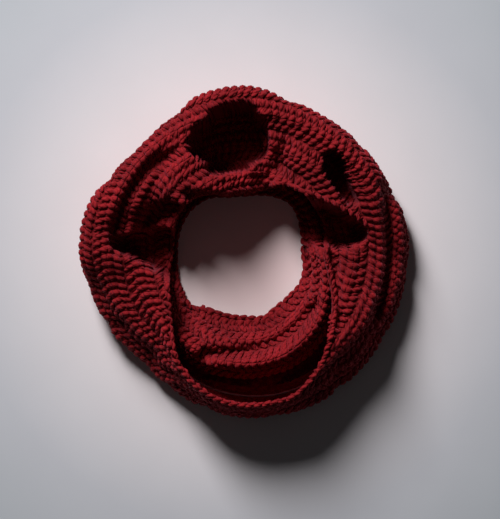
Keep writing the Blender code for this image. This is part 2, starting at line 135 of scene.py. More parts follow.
# pockets: share of the height that sinks, half width of the sloping side, outline in plan units
POCKETS = (
    ("back pocket", 1.0, 7.0,
     ((-35, 79), (-39, 90), (-51, 97), (-53, 108), (-48, 119), (-37, 126), (-31, 136), (-18, 142),
      (0, 143), (11, 137), (19, 124), (23, 108), (21, 96), (8, 90), (0, 80), (-17, 78))),
    ("left pocket", 1.0, 7.0,
     ((-60, 20), (-85, 22), (-106, 17), (-124, 12), (-135, 8), (-130, 3), (-118, -2), (-108, -8),
      (-95, -13), (-84, -20), (-77, -30), (-62, -32), (-56, -10))),
    ("left inner hollow", 0.30, 9.0,
     ((-58, 14), (-84, 14), (-108, 12), (-113, 20), (-101, 36), (-89, 46), (-74, 50), (-62, 44))),
    ("right pocket", 1.0, 7.0,
     ((45, 58), (60, 53), (80, 45), (100, 35), (115, 27), (121, 20), (117, 12), (105, 5), (90, 3),
      (76, 7), (62, 12), (49, 22), (42, 45))),
    ("upper right pocket", 0.8, 5.0,
     ((79, 90), (84, 98), (92, 96), (97, 87), (100, 76), (104, 64), (112, 50), (106, 47),
      (97, 54), (88, 64), (82, 77))),
)

# folds: share of the height that sinks (raised when negative), half width, line in plan units
FOLDS = (
    ("right groove", 0.42, 6.0, ((143, 64), (145, 41), (146, 11), (145, -14), (141, -39), (133, -62))),
    ("left rim crease", 0.15, 5.0,
     ((-82, 94), (-96, 82), (-109, 66), (-118, 51), (-126, 34), (-132, 20))),
    ("left rim ridge", -0.05, 5.0,
     ((-88, 100), (-102, 88), (-116, 70), (-125, 56), (-134, 37), (-141, 21), (-144, 2))),
    ("left middle crease", 0.12, 6.0, ((-72, 96), (-83, 79), (-92, 56), (-100, 31))),
    ("left slope", 0.25, 15.0, ((-92, 34), (-108, 28), (-124, 20))),
    ("right crease", 0.22, 5.0, ((87, -4), (90, -24), (93, -49), (94, -72))),
    ("crossing crease", 0.20, 7.0, ((34, 98), (37, 80), (43, 64))),
)

INNER_FOLDS = (
    ("front groove", 0.46, 6.5, ((-40, -104), (-5, -101), (25, -94), (45, -81), (57, -69), (68, -57))),
    ("front dip", 0.16, 7.0, ((-62, -66), (-30, -74), (0, -76), (28, -72), (50, -55))),
    ("front left dip", 0.50, 6.0, ((-60, -63), (-50, -70))),
)

# where the crossing stretch starts and ends, and the gap between it and the outer turn, in degrees
CROSSING_FROM = 6.0
CROSSING_TO = 84.0
CROSSING_GAP = 0.15

# grid of each cloth: steps round and across, passes of corner cutting on its sections, its pockets' sides
# as a share of the table's, the height over which they fade at the bottom, and blurs in grid steps
TURN_STEPS = 360
ACROSS_STEPS = 150
CORNER_CUTS = 3
POCKET_SHARPNESS = 0.4
SINK_FADE = 3.0
SINK_BLUR = (1.0, 1.3)
NORMAL_BLUR = (1.0, 1.2)

# marks count a section's corners: where stitches start, where the row line is or is looked for, and where
# the outer turn's top starts. The outer turn's row line is ROW_LINE plan units from the middle.
OUTER_FIRST_MARK = 1.7
OUTER_LINE_MARK = 5.0
OUTER_TOP_MARK = 5.5
INNER_FIRST_MARK = 0.5
INNER_LINE_MARK = 3.0
ROW_LINE = 137.0

# rows of stitches: distance between stitches, width of a ridge with a row on each side, and ridge numbers
PITCH = 7.0
PAIR = 2.0 * ROW_HEIGHT
OUTER_LINES = range(-5, 6)
INNER_LINES = range(-3, 4)

# a stitch is an arch of yarn over a ridge, in two legs that each run down to LEG_TO of a row. Its crest
# lies LEG_LEAN behind its ends along the row, and LEG_ROUND is the power of that bend. A leg goes from
# RIDGE_HEIGHT over the cloth to VALLEY_DEPTH under it, is pinched on its way and thins to LEG_END of its
# radius. It stays LEG_MARGIN inside the cloth's end. One shorter than LEG_LEAST of a row is left out, and
# one that is drawn out over LEG_STRETCH of its height is thinner, down to LEG_THINNEST.
LEG_LEAN = 6.0
LEG_ROUND = 1.8
LEG_TO = 0.93
LEG_LEAST = 0.3
LEG_MARGIN = 0.5
LEG_SAMPLES = 11
LEG_RADIUS = 3.1
LEG_END = 0.42
LEG_TAPER = 0.6
LEG_TIP = 0.98
LEG_BULGE = 0.6
LEG_STRETCH = 1.5
LEG_THINNEST = 0.5
PINCH_AT = 0.4
PINCH_WIDTH = 0.13
PINCH_DEPTH = 1.3
PINCH_SHARE = 0.35
RIDGE_HEIGHT = 0.4
VALLEY_DEPTH = 1.4

# the lower arch between two stitches
UNDER_TO = 0.86
UNDER_RADIUS = 2.0
UNDER_DEPTH = 0.9

# looseness of the handwork: spread of two draws along the row, of a strand's height and of its thickness
LOOSE_ALONG = (0.5, 0.35)
LOOSE_HEIGHT = 0.3
LOOSE_RADIUS = 0.06

# strands: sides of a tube, its height as a share of its width, the lowest place of its middle, how far
# the yarn's pattern moves from one to the next, and the least radius that a row is taken to turn at
SIDES = 6
YARN_FLATNESS = 0.6
LOWEST = 1.9
PATTERN_SHIFT = 37.0
LEAST_REACH = 40.0

# chain of bent loops on an edge: points, radius at the bend and its share at the ends, slant across the
# row, looseness along and across, how far one may pass the cloth's end, and how far inside it they lie
BEAD_SAMPLES = 8
EDGE_BEAD = 2.0
BEAD_END = 0.55
BEAD_SLANT = 2.6
BEAD_LOOSE = (0.25, 0.2)
BEAD_SLACK = 0.1
EDGE_INSET = 0.8

# a loop's length and the height of its ends and its bend, on the free edge and on the edge on top
FREE_EDGE = (9.0, -0.2, 0.9)
TOP_EDGE = (8.6, 0.2, 2.2)

# backing: how far its outside and inside lie under the drawn surface, the lowest place of its outside,
# the height over which it closes to its flat foot, its step in degrees, and its points across each turn
BACK_OUTER = 1.5
BACK_INNER = 3.1
BACK_LOWEST = 1.0
FOOT_FADE = 3.0
BACK_STEP = 1.5
OUTER_BACK_POINTS = 90
INNER_BACK_POINTS = 44

# hidden layers: cuts of each edge, waves round the ring, and in metres the depth of their relief, the
# height where it starts above the flat underside and the height over which it grows
PILE_CUTS = 3
PILE_WAVES = 100.0
PILE_RELIEF = 0.0007
PILE_FOOT = 0.001
PILE_FADE = 0.004

# creases on the outer turn: angle and mark at both ends (2 heel, 5 shoulder, 9 edge), then
# depth (raised when negative) and half width in millimetres
CREASES = (
    (104.0, 2.0, 118.0, 5.0, 3.2, 6.0),
    (131.0, 1.8, 140.0, 4.4, 2.4, 5.0),
    (158.0, 2.2, 150.0, 5.4, 3.0, 7.0),
    (183.0, 2.0, 176.0, 4.6, 2.2, 6.0),
    (205.0, 1.8, 214.0, 5.2, 3.4, 6.5),
    (231.0, 2.4, 226.0, 5.6, 2.0, 5.0),
    (252.0, 1.8, 262.0, 4.8, 2.8, 6.0),
    (284.0, 2.0, 277.0, 5.2, 2.0, 7.0),
    (301.0, 1.8, 312.0, 5.0, 3.2, 6.0),
    (330.0, 2.2, 324.0, 4.8, 2.2, 5.5),
    (352.0, 2.0, 361.0, 4.6, 2.4, 6.0),
    (18.0, 2.0, 26.0, 5.0, 2.8, 6.5),
    (47.0, 1.8, 40.0, 5.2, 2.2, 5.5),
    (68.0, 2.2, 77.0, 5.0, 3.0, 6.0),
    (118.0, 3.2, 136.0, 3.6, -1.8, 7.0),
    (190.0, 3.4, 222.0, 3.0, -1.6, 8.0),
    (292.0, 3.2, 318.0, 3.6, -1.8, 7.0),
    (28.0, 3.4, 58.0, 3.2, -1.6, 8.0),
)

# points along a crease, and the part of half a wave that its depth follows: its start and its length
CREASE_POINTS = 9
CREASE_START = 0.12
CREASE_RUN = 0.76

# edge of the cloth that shows on top at the upper right, in plan units, and its passes of corner cutting
UPPER_RIGHT_EDGE = ((61, 59), (82, 51), (92, 46), (102, 40), (109, 36), (117, 31), (125, 25))
EDGE_CUTS = 2

# spans of the ring in degrees, the pieces of the outer turn's stitches, and samples for measuring a cut
FULL_SPAN = (0.0, 360.0)
OUTER_SPAN = (CROSSING_TO, 360.0 + CROSSING_FROM)
CROSSING_SPAN = (CROSSING_FROM + CROSSING_GAP, CROSSING_TO - CROSSING_GAP)
FACING_SPAN = (218.0, 330.0)
OUTER_PARTS = (
    ("outer_turn_stitches_back", (CROSSING_TO, 155.0)),
    ("outer_turn_stitches_left", (155.0, 226.0)),
    ("outer_turn_stitches_front", (226.0, 297.0)),
    ("outer_turn_stitches_right", (297.0, 360.0 + CROSSING_FROM)),
)
CUT_SAMPLES = 200

# seeds of the looseness of each piece; an edge's chain has its piece's seed plus EDGE_SEED
OUTER_SEED = 11
CROSSING_SEED = 21
INNER_SEED = 31
EDGE_SEED = 50
INSIDE_SEED = 61
TOP_EDGE_SEED = 80

# yarn: its colours, those of the felt in its gaps and in the hidden layers, the length of one twist of
# its two plies, how far its fibres are drawn out along it, and the scale of the loops in both felts
YARN_DARK = (0.178, 0.0055, 0.0078)
YARN_LIGHT = (0.300, 0.0105, 0.0152)
GAP_DARK = (0.168, 0.0060, 0.0085)
GAP_LIGHT = (0.315, 0.0120, 0.0160)
# the hidden layers' yarn is the same red yarn, kept darker as painted shade of the cavities it lies in
HIDDEN_PAINTED_SHADE = (0.12, 0.008, 0.014)
SPECULAR = 0.12
PLY_PITCH = 11.0
FIBRE_DRAW = (0.16, 1.0, 1.0)
GAP_LOOPS = 260.0
HIDDEN_LOOPS = 190.0

# floor: side and depth under the foot, and its tones of painted light from the middle out to FLOOR_REACH,
# in metres
FLOOR_SIDE = 6.0
FLOOR_DEPTH = 0.0004
FLOOR_REACH = 0.36
# painted light on the floor: pink and lighter in the middle as painted red bounce from the yarn, darker and
# cooler outward as painted shade
FLOOR_PAINTED_LIGHT = (
    (0.0, (0.97, 0.75, 0.75)),
    (0.12, (0.95, 0.76, 0.76)),
    (0.24, (0.88, 0.78, 0.785)),
    (0.42, (0.78, 0.73, 0.75)),
    (0.54, (0.68, 0.66, 0.69)),
    (0.68, (0.55, 0.56, 0.60)),
    (1.0, (0.42, 0.46, 0.49)),
)

# one soft light: its direction and the size it is seen at in degrees, its distance in metres; a faint fill
LIGHT_WEST_OF_NORTH = 24.0
LIGHT_ELEVATION = 37.0
LIGHT_DISTANCE = 2.6
LIGHT_ANGLE_WIDE = 15.0
LIGHT_ANGLE_TALL = 29.0
LIGHT_POWER = 93.0
LIGHT_COLOUR = (1.0, 0.985, 0.99)
WORLD_STRENGTH = 0.024
WORLD_COLOUR = (1.0, 0.99, 1.0, 1.0)

# camera straight above: the picture's size and the ring's middle in it in pixels, its height in metres,
# and the height over the floor where one pixel is one plan unit
PHOTO_SIZE = (500, 519)
RING_MIDDLE_PIXEL = (245.0, 251.0)
CAMERA_HEIGHT = 2.6
SCALE_HEIGHT = 0.045
SENSOR = 36.0


def around(rows, column, angles):
    """Value of one table column at any angles, smooth and without overshoot between its rows."""
    values = np.array([row[column] for row in rows])
    rise = np.roll(values, -1) - values
    before = np.roll(rise, 1)
    product = before * rise
    total = np.where(product > 0, before + rise, 1.0)
    slope = np.where(product > 0, 2.0 * product / total, 0.0)
    place = np.mod(angles, 360.0) / STEP
    first = np.floor(place).astype(int) % len(values)
    second = (first + 1) % len(values)
    t = place - np.floor(place)
    t2 = t * t
    t3 = t2 * t
    return (
        values[first] * (2 * t3 - 3 * t2 + 1)
        + slope[first] * (t3 - 2 * t2 + t)
        + values[second] * (3 * t2 - 2 * t3)
        + slope[second] * (t3 - t2)
    )


def rounded(corners, passes):
    """Corner cutting: each pass swaps a corner for two points on its sides; the ends stay."""
    for _ in range(passes):
        near = 0.75 * corners[:, :-1] + 0.25 * corners[:, 1:]
        far = 0.25 * corners[:, :-1] + 0.75 * corners[:, 1:]
        between = np.stack([near, far], axis=2).reshape(len(corners), -1, corners.shape[2])
        corners = np.concatenate([corners[:, :1], between[:, 1:-1], corners[:, -1:]], axis=1)
    return corners


def evenly(curves, count):
    """Points at even shares of each section's length, with the distance along it as one more value."""
    steps = np.linalg.norm(np.diff(curves[:, :, :2], axis=1), axis=2)
    length = np.concatenate([np.zeros((len(curves), 1)), np.cumsum(steps, axis=1)], axis=1)
    share = np.linspace(0.0, 1.0, count)
    result = np.empty((len(curves), count, curves.shape[2] + 1))
    for i in range(len(curves)):
        wanted = share * length[i, -1]
        for k in range(curves.shape[2]):
            result[i, :, k] = np.interp(wanted, length[i], curves[i, :, k])
        result[i, :, -1] = wanted
    return result


def outer_sections(angles):
    """Corners of the outer turn's section: hem, foot, widest place, shoulder, top, edge and its end.

    A corner is a radius, a height and a mark. Plain factors are shares of the way between two places.
    """
    v = {name: around(OUTER_ROWS, k, angles) for k, name in enumerate(OUTER_COLUMNS)}
    outline = v["outline"] * PLAN_UNIT
    foot = outline - v["foot_in"] * PLAN_UNIT
    belly = outline - v["belly_in"] * PLAN_UNIT + SIDE_EASE
    rim = outline - v["rim_in"] * PLAN_UNIT + SIDE_EASE
    lip = v["lip"] * PLAN_UNIT
    turn = v["turn"]
    bend = 0.5 * np.pi * turn
    reach = EDGE_RADIUS * np.tan(0.5 * bend)
    drop = np.maximum(v["lip_z"] - v["end_z"] - 2.0 * EDGE_RADIUS, 0.0)
    tail = LEAST_TAIL + 2.0 * reach + turn**3 * drop
    crest = lip + tail * np.cos(bend)
    hang = np.minimum(0.6 * tail, 1.5 * EDGE_RADIUS)
    room = np.clip((rim - crest) / SHOULDER_ROOM, SHOULDER_LEAST, 1.0)
    rim_top = rim - SHOULDER_WIDTH * room
    hold = np.minimum(0.2 * (rim_top - crest), 1.5 * EDGE_RADIUS)
    top_a = rim_top + (crest - rim_top) * 0.36
    top_b = rim_top + (crest - rim_top) * 0.70
    crown = 0.03 * np.maximum(rim_top - crest, 0.0)
    za = v["rim_z"] + (v["lip_z"] - v["rim_z"]) * 0.42 + crown
    zb = v["rim_z"] + (v["lip_z"] - v["rim_z"]) * 0.76 + crown
    zero = np.zeros_like(angles)
    corners = (
        (foot - HEM, zero, 0.0),
        (foot - HEM_BEND, zero, 1.0),
        (foot + (belly - foot) * 0.7, 0.10 * v["rim_z"], 2.0),
        (belly, v["belly_z"], 3.0),
        (0.35 * belly + 0.65 * rim, 0.45 * v["belly_z"] + 0.55 * v["rim_z"], 4.0),
        (rim, v["rim_z"] - SHOULDER_DROP, 5.0),
        (rim_top, v["rim_z"], 6.0),
        (top_a, za, 7.0),
        (top_b, zb, 8.0),
        (crest + hold, v["lip_z"], 8.6),
        (crest, v["lip_z"], 9.0),
        (crest - hang * np.cos(bend), v["lip_z"] - hang * np.sin(bend), 9.4),
        (lip, v["lip_z"] - tail * np.sin(bend), 10.0),
    )
    return np.stack([np.stack([r, z, zero + mark], axis=1) for r, z, mark in corners], axis=1)


def inner_sections(angles):
    """Corners of the inner turn's section: end under the outer turn, ridge, slope and loose edge."""
    v = {name: around(INNER_ROWS, k, angles) for k, name in enumerate(INNER_COLUMNS)}
    hole = v["hole"] * PLAN_UNIT
    ridge = v["ridge"] * PLAN_UNIT
    end = v["end"] * PLAN_UNIT
    low = WALL
    rise = v["ridge_z"] - low
    zero = np.zeros_like(angles)
    span = ridge - hole
    back = end - ridge
    corners = (
        (end, v["end_z"], 0.0),
        (ridge + 0.86 * back, low + 0.36 * rise, 1.0),
        (ridge + 0.54 * back, low + 0.80 * rise, 2.0),
        (ridge, low + 1.04 * rise, 3.0),
        (hole + 0.74 * span, low + 0.86 * rise, 4.0),
        (hole + 0.45 * span, low + 0.46 * rise, 5.0),
        (hole + 0.16 * span, zero + low + 0.05 * rise, 6.0),
        (hole, zero + low, 7.0),
    )
    return np.stack([np.stack([r, z, zero + mark], axis=1) for r, z, mark in corners], axis=1)


def line_distance(x, y, line, closed):
    """Distance from points to a line of straight parts."""
    ends = list(zip(line, line[1:]))
    if closed:
        ends.append((line[-1], line[0]))
    best = np.full(x.shape, 1e9)
    for (ax, ay), (bx, by) in ends:
        dx = bx - ax
        dy = by - ay
        t = np.clip(((x - ax) * dx + (y - ay) * dy) / (dx * dx + dy * dy), 0.0, 1.0)
        best = np.minimum(best, np.hypot(x - ax - t * dx, y - ay - t * dy))
    return best


def is_inside(x, y, line):
    """Which points lie inside a closed line."""
    inside = np.zeros(x.shape, bool)
    for (ax, ay), (bx, by) in zip(line, line[1:] + line[:1]):
        crosses = (ay > y) != (by > y)
        at = ax + (y - ay) * (bx - ax) / (by - ay if by != ay else 1e-9)
        inside ^= crosses & (x < at)
    return inside


def sunk_share(x, y, pockets, folds):
    """Share of the height above a turn's floor that pockets and folds take away at each plan point."""
    left = np.ones(x.shape)
    for _, share, side, outline in pockets:
        away = line_distance(x, y, outline, True)
        away = np.where(is_inside(x, y, outline), -away, away)
        t = np.clip((side - away) / (2.0 * side), 0.0, 1.0)
        left *= 1.0 - share * t * t * (3.0 - 2.0 * t)
    for _, share, side, line in folds:
        away = line_distance(x, y, line, False)
        left *= 1.0 - share * np.exp(-((away / side) ** 2))
    return 1.0 - left


def smoothed(values, width_around, width_across):
    """Values of a grid blurred round the ring and across the cloth; widths are in grid steps."""
    for axis, width in ((0, width_around), (1, width_across)):
        reach = int(3 * width)
        weights = np.exp(-0.5 * (np.arange(-reach, reach + 1) / width) ** 2)
        weights /= weights.sum()
        total = np.zeros_like(values)
        if axis == 0:
            for k, weight in zip(range(-reach, reach + 1), weights):
                total += weight * np.roll(values, k, axis=0)
        else:
            padded = np.pad(values, ((0, 0), (reach, reach)), mode="edge")
            for k, weight in zip(range(2 * reach + 1), weights):
                total += weight * padded[:, k:k + values.shape[1]]
        values = total
    return values


def distance_along(line):
    """Distance of each point of a line from its start."""
    return np.append(0.0, np.cumsum(np.linalg.norm(np.diff(line, axis=0), axis=1)))


def unit(vectors):
    """Vectors of length one."""
    return vectors / np.maximum(np.linalg.norm(vectors, axis=-1, keepdims=True), 1e-9)


def crease_depth(points, marks, creases):
    """Depth that the listed creases take at each grid point of a cloth."""
    depth = np.zeros(points.shape[:2])
    for from_turn, from_mark, to_turn, to_mark, deep, half in creases:
        share = np.linspace(0.0, 1.0, CREASE_POINTS)
        turns = (from_turn + (to_turn - from_turn) * share) % 360.0
        places = from_mark + (to_mark - from_mark) * share
        line = []
        for turn, place in zip(turns, places):
            i = int(turn) % TURN_STEPS
            line.append([np.interp(place, marks[i], points[i, :, axis]) for axis in range(3)])
        line = np.array(line)
        best = np.full(depth.shape, 1e9)
        along = np.zeros(depth.shape)
        for k in range(len(line) - 1):
            part = line[k + 1] - line[k]
            t = np.clip(((points - line[k]) @ part) / (part @ part), 0.0, 1.0)
            away = np.linalg.norm(points - line[k] - t[..., None] * part, axis=2)
            along = np.where(away < best, (k + t) / (len(line) - 1), along)
            best = np.minimum(best, away)
        ends = np.sin(np.pi * (CREASE_START + CREASE_RUN * along))
        depth += deep * ends * np.exp(-((best / half) ** 2))
    return depth


class Cloth:
    """A turn of cloth as a grid of points, round the ring and then across, with each section's length.

    Distances across are counted from the row line. It lies at line_mark or, where a line_radius is
    given, at that radius past the mark.
    """

    def __init__(self, sections, folds, floor, creases, first_mark, line_mark, line_radius=None):
        self.turns = np.arange(TURN_STEPS) * 360.0 / TURN_STEPS
        curve = evenly(rounded(sections(self.turns), CORNER_CUTS), ACROSS_STEPS)
        radius = curve[:, :, 0]
        height = curve[:, :, 1]
        self.marks = curve[:, :, 2]
        self.length = curve[:, -1, 3]
        step = np.gradient(radius, axis=1), np.gradient(height, axis=1)
        size = np.hypot(*step)
        turn = np.radians(self.turns)[:, None]
        points = np.stack([radius * np.cos(turn), radius * np.sin(turn), height], axis=2)
        deep = crease_depth(points, self.marks, creases)
        radius = radius - deep * step[1] / size
        height = height + deep * step[0] / size
        x = radius * np.cos(turn)
        y = radius * np.sin(turn)
        sharp = [(name, share, side * POCKET_SHARPNESS, line) for name, share, side, line in POCKETS]
        sunk = sunk_share(x / PLAN_UNIT, y / PLAN_UNIT, sharp, folds)
        sunk = smoothed(sunk, *SINK_BLUR) * np.clip((height - floor) / SINK_FADE, 0.0, 1.0)
        height = height - np.maximum(height - floor, 0.0) * sunk
        self.points = np.stack([x, y, height], axis=2)
        round_step = np.roll(self.points, -1, axis=0) - np.roll(self.points, 1, axis=0)
        across_step = np.gradient(self.points, axis=1)
        normals = unit(np.cross(round_step, across_step))
        normals = [smoothed(normals[:, :, k], *NORMAL_BLUR) for k in range(3)]
        self.normals = unit(np.stack(normals, axis=2))
        self.anchor = np.empty(TURN_STEPS)
        for i in range(TURN_STEPS):
            if line_radius is None:
                self.anchor[i] = np.interp(line_mark, self.marks[i], curve[i, :, 3])
            else:
                top = self.marks[i] > line_mark
                r = curve[i, top, 0]
                s = curve[i, top, 3]
                self.anchor[i] = np.interp(-line_radius, -r, s) + max(r[-1] - line_radius, 0.0)
        first = [np.interp(first_mark, self.marks[i], curve[i, :, 3]) for i in range(TURN_STEPS)]
        self.low = np.array(first) - self.anchor
        self.high = self.length - self.anchor
        self.radius = curve[:, :, 0]

    def at(self, turns, across):
        """Points and normals at any angles and distances from the row line."""
        place = np.mod(turns, 360.0) * TURN_STEPS / 360.0
        first = np.floor(place).astype(int) % TURN_STEPS
        share = (place - np.floor(place))[..., None]
        found = []
        grids = (self.points, self.normals)
        for i in (first, (first + 1) % TURN_STEPS):
            j = np.clip((self.anchor[i] + across) / self.length[i], 0.0, 1.0) * (ACROSS_STEPS - 1)
            k = np.minimum(j.astype(int), ACROSS_STEPS - 2)
            part = (j - k)[..., None]
            found.append([grid[i, k] * (1.0 - part) + grid[i, k + 1] * part for grid in grids])
        points = found[0][0] * (1.0 - share) + found[1][0] * share
        return points, unit(found[0][1] * (1.0 - share) + found[1][1] * share)

    def limit(self, values, turns):
        """A value that each section has, at any angles."""
        return np.interp(np.mod(turns, 360.0), np.append(self.turns, 360.0), np.append(values, values[0]))

    def places(self, across, shift):
        """Angles of evenly spaced stitches along one row, moved on by a share of a stitch."""
        turns = np.append(self.turns, 360.0)
        length = distance_along(self.at(turns, across)[0])
        count = int(round(length[-1] / PITCH))
        return np.interp((np.arange(count) + shift) * length[-1] / count, length, turns)

    def across_of(self, x, y):
        """Angle and distance from the row line of plan points on the top of the cloth."""
        turns = np.degrees(np.arctan2(y, x)) % 360.0
        across = np.empty(len(turns))
        for n, turn in enumerate(turns):
            i = int(round(turn * TURN_STEPS / 360.0)) % TURN_STEPS
            top = self.marks[i] > OUTER_TOP_MARK
            s = np.linspace(0.0, self.length[i], ACROSS_STEPS)[top]
            across[n] = np.interp(-np.hypot(x[n], y[n]), -self.radius[i, top], s) - self.anchor[i]
        return turns, across


def tubes(centres, across, radius, tint):
    """Vertices, faces, yarn coordinates and tints of many tubes of the same count of points."""
    count, samples = centres.shape[:2]
    along = unit(np.gradient(centres, axis=1))
    side = unit(np.cross(along, across))
    up = np.cross(side, along)
    angle = np.arange(SIDES) * 2.0 * np.pi / SIDES
    flat = YARN_FLATNESS * np.cos(angle)[:, None]
    wide = np.sin(angle)[:, None]
    ring = flat * up[:, :, None, :] + wide * side[:, :, None, :]
    vertices = centres[:, :, None, :] + radius[:, :, None, None] * ring
    index = np.arange(count * samples * SIDES).reshape(count, samples, SIDES)
    ahead = np.roll(index, -1, axis=2)
    faces = np.stack([index[:, :-1], ahead[:, :-1], ahead[:, 1:], index[:, 1:]], axis=3).reshape(-1, 4)
    caps = []
    for end, order in ((0, -1), (samples - 1, 1)):
        loop = index[:, end, ::order]
        caps.append(loop[:, (0, 1, 2, 3)])
        caps.append(loop[:, (0, 3, 4, 5)])
    steps = np.linalg.norm(np.diff(centres, axis=1), axis=2)
    distance = np.concatenate([np.zeros((count, 1)), np.cumsum(steps, axis=1)], axis=1)
    yarn = np.empty(vertices.shape)
    yarn[..., 0] = (distance + PATTERN_SHIFT * tint[:, None])[:, :, None]
    yarn[..., 1] = np.cos(angle)
    yarn[..., 2] = np.sin(angle)
    shade = np.broadcast_to(tint[:, None, None], vertices.shape[:3])
    return vertices.reshape(-1, 3), np.concatenate([faces, *caps]), yarn.reshape(-1, 3), shade.reshape(-1)


def joined(parts):
    """Several results of tubes() as one."""
    start = 0
    faces = []
    for part in parts:
        faces.append(part[1] + start)
        start += len(part[0])
    return (
        np.concatenate([p[0] for p in parts]),
        np.concatenate(faces),
        np.concatenate([p[2] for p in parts]),
        np.concatenate([p[3] for p in parts]),
    )


def add_mesh(name, vertices, faces, material, yarn=None, shade=None):
    """A joined mesh from arrays of four-sided faces, moved to the model's own middle."""
    mesh = bpy.data.meshes.new(name)
    shifted = (vertices - np.array([MIDDLE_SHIFT[0], MIDDLE_SHIFT[1], 0.0])) * MM
    mesh.vertices.add(len(shifted))
    mesh.vertices.foreach_set("co", shifted.astype(np.float32).ravel())
    mesh.loops.add(faces.size)
    mesh.loops.foreach_set("vertex_index", faces.astype(np.int32).ravel())
    mesh.polygons.add(len(faces))
    mesh.polygons.foreach_set("loop_start", np.arange(len(faces), dtype=np.int32) * faces.shape[1])
    mesh.update(calc_edges=True)
    mesh.validate()
    if yarn is not None:
        along = mesh.attributes.new("yarn", "FLOAT_VECTOR", "POINT")
        along.data.foreach_set("vector", yarn.astype(np.float32).ravel())
        tint = mesh.attributes.new("tint", "FLOAT", "POINT")
        tint.data.foreach_set("value", shade.astype(np.float32).ravel())
    mesh.shade_smooth()
    mesh.materials.append(material)
    item = bpy.data.objects.new(name, mesh)
    bpy.context.scene.collection.objects.link(item)
    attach(item, "root")
    return item


def row_reach(cloth, turns, across):
    """Distance of each stitch of a row from the ring's middle."""
    line = cloth.at(turns, across)[0]
    return np.maximum(np.hypot(line[:, 0], line[:, 1]), LEAST_REACH)


def legs(cloth, side, turns, line, sense, last, sunk, size, rng):
    """Strands of one row, from its ridge to its valley, each cut short where the cloth ends."""
    low = cloth.limit(cloth.low, turns) - line
    high = cloth.limit(cloth.high, turns) - LEG_MARGIN - line
    least = np.where(sense > 0, low, -high) / ROW_HEIGHT
    most = np.where(sense > 0, high, -low) / ROW_HEIGHT
    start = np.maximum(least, 0.0)
    stop = np.minimum(most, last)
    kept = stop - start > LEG_LEAST
    turns, start, stop = turns[kept], start[kept], stop[kept]
    if not len(turns):
        return None
    count = len(turns)
    share = np.linspace(0.0, 1.0, LEG_SAMPLES)
    down = start[:, None] + (stop - start)[:, None] * share
    loose = rng.normal(0.0, 1.0, (count, 4))
    stray = LOOSE_ALONG[1] * loose[:, 1:2] + LOOSE_ALONG[0] * loose[:, :1]
    shift = stray * down - LEG_LEAN * (1.0 - down ** LEG_ROUND)
    reach = row_reach(cloth, turns, np.full(count, line))
    around_turn = turns[:, None] + np.degrees(shift / reach[:, None])
    points, normals = cloth.at(around_turn, line + sense * down * ROW_HEIGHT)
    normals = side * normals
    points = points + (normals * WALL if side < 0 else 0.0)
    bulge = np.sin(np.pi * down)
    pinch = np.exp(-(((down - PINCH_AT) / PINCH_WIDTH) ** 2))
    height = RIDGE_HEIGHT * (1.0 - down) - VALLEY_DEPTH * down + LEG_BULGE * bulge - PINCH_DEPTH * pinch
    height += LOOSE_HEIGHT * down * loose[:, 2:3] - sunk
    centre = points + normals * height[..., None]
    centre[:, :, 2] = np.maximum(centre[:, :, 2], LOWEST)
    ends = np.cos(0.5 * np.pi * np.minimum(share, LEG_TIP)) ** LEG_TAPER
    length = np.linalg.norm(np.diff(points, axis=1), axis=2).sum(axis=1)
    slim = np.clip(LEG_STRETCH * (stop - start) * ROW_HEIGHT / length, LEG_THINNEST, 1.0)[:, None]
    radius = size * slim * (LEG_END + (1.0 - LEG_END) * ends) * (1.0 - PINCH_SHARE * pinch)
    radius *= 1.0 + LOOSE_RADIUS * loose[:, 3:4]
    return tubes(centre, normals, radius, rng.random(count))


def beads(cloth, turns, across, loop, rng):
    """Short bent loops that chain along a row; loop is their length and their height at ends and bend."""
    width, low_lift, high_lift = loop
    low = cloth.limit(cloth.low, turns)
    high = cloth.limit(cloth.high, turns)
    kept = (across > low - BEAD_SLACK) & (across < high + BEAD_SLACK)
    turns, across = turns[kept], across[kept]
    count = len(turns)
    share = np.linspace(-0.5, 0.5, BEAD_SAMPLES)
    loose = rng.normal(0.0, 1.0, (count, 3))
    shift = share * width + BEAD_LOOSE[0] * loose[:, :1]
    around_turn = turns[:, None] + np.degrees(shift / row_reach(cloth, turns, across)[:, None])
    slant = across[:, None] + BEAD_SLANT * share + BEAD_LOOSE[1] * loose[:, 1:2]
    points, normals = cloth.at(around_turn, slant)
    bend = np.cos(np.pi * share)
    centre = points + normals * (low_lift + (high_lift - low_lift) * bend)[None, :, None]
    centre[:, :, 2] = np.maximum(centre[:, :, 2], LOWEST)
    radius = EDGE_BEAD * (BEAD_END + (1.0 - BEAD_END) * bend)[None, :]
    radius = radius * (1.0 + LOOSE_RADIUS * loose[:, 2:3])
    return tubes(centre, normals, radius, rng.random(count))


def in_range(turns, span):
    """Which angles lie in a span that may pass 360 degrees."""
    return np.mod(turns - span[0], 360.0) < span[1] - span[0]


def rows_of(cloth, side, span, lines, seed):
    """All stitches of a span of the ring: arches over every ridge, and a lower arch between each two."""
    rng = np.random.default_rng(seed)
    parts = []
    for number in lines:
        line = number * PAIR
        turns = cloth.places(line, 0.0)
        beside = cloth.places(line, 0.5)
        turns = turns[in_range(turns, span)]
        beside = beside[in_range(beside, span)]
        for sense in (1.0, -1.0):
            parts.append(legs(cloth, side, turns, line, sense, LEG_TO, 0.0, LEG_RADIUS, rng))
            parts.append(legs(cloth, side, beside, line, sense, UNDER_TO, UNDER_DEPTH, UNDER_RADIUS, rng))
    return [part for part in parts if part is not None]


def edge_of(cloth, span, seed):
    """Chain along the free edge of a span of the ring."""
    rng = np.random.default_rng(seed)
    turns = cloth.places(np.append(cloth.high, cloth.high[0]), 0.0)
    turns = turns[in_range(turns, span)]
    return beads(cloth, turns, cloth.limit(cloth.high, turns) - EDGE_INSET, FREE_EDGE, rng)


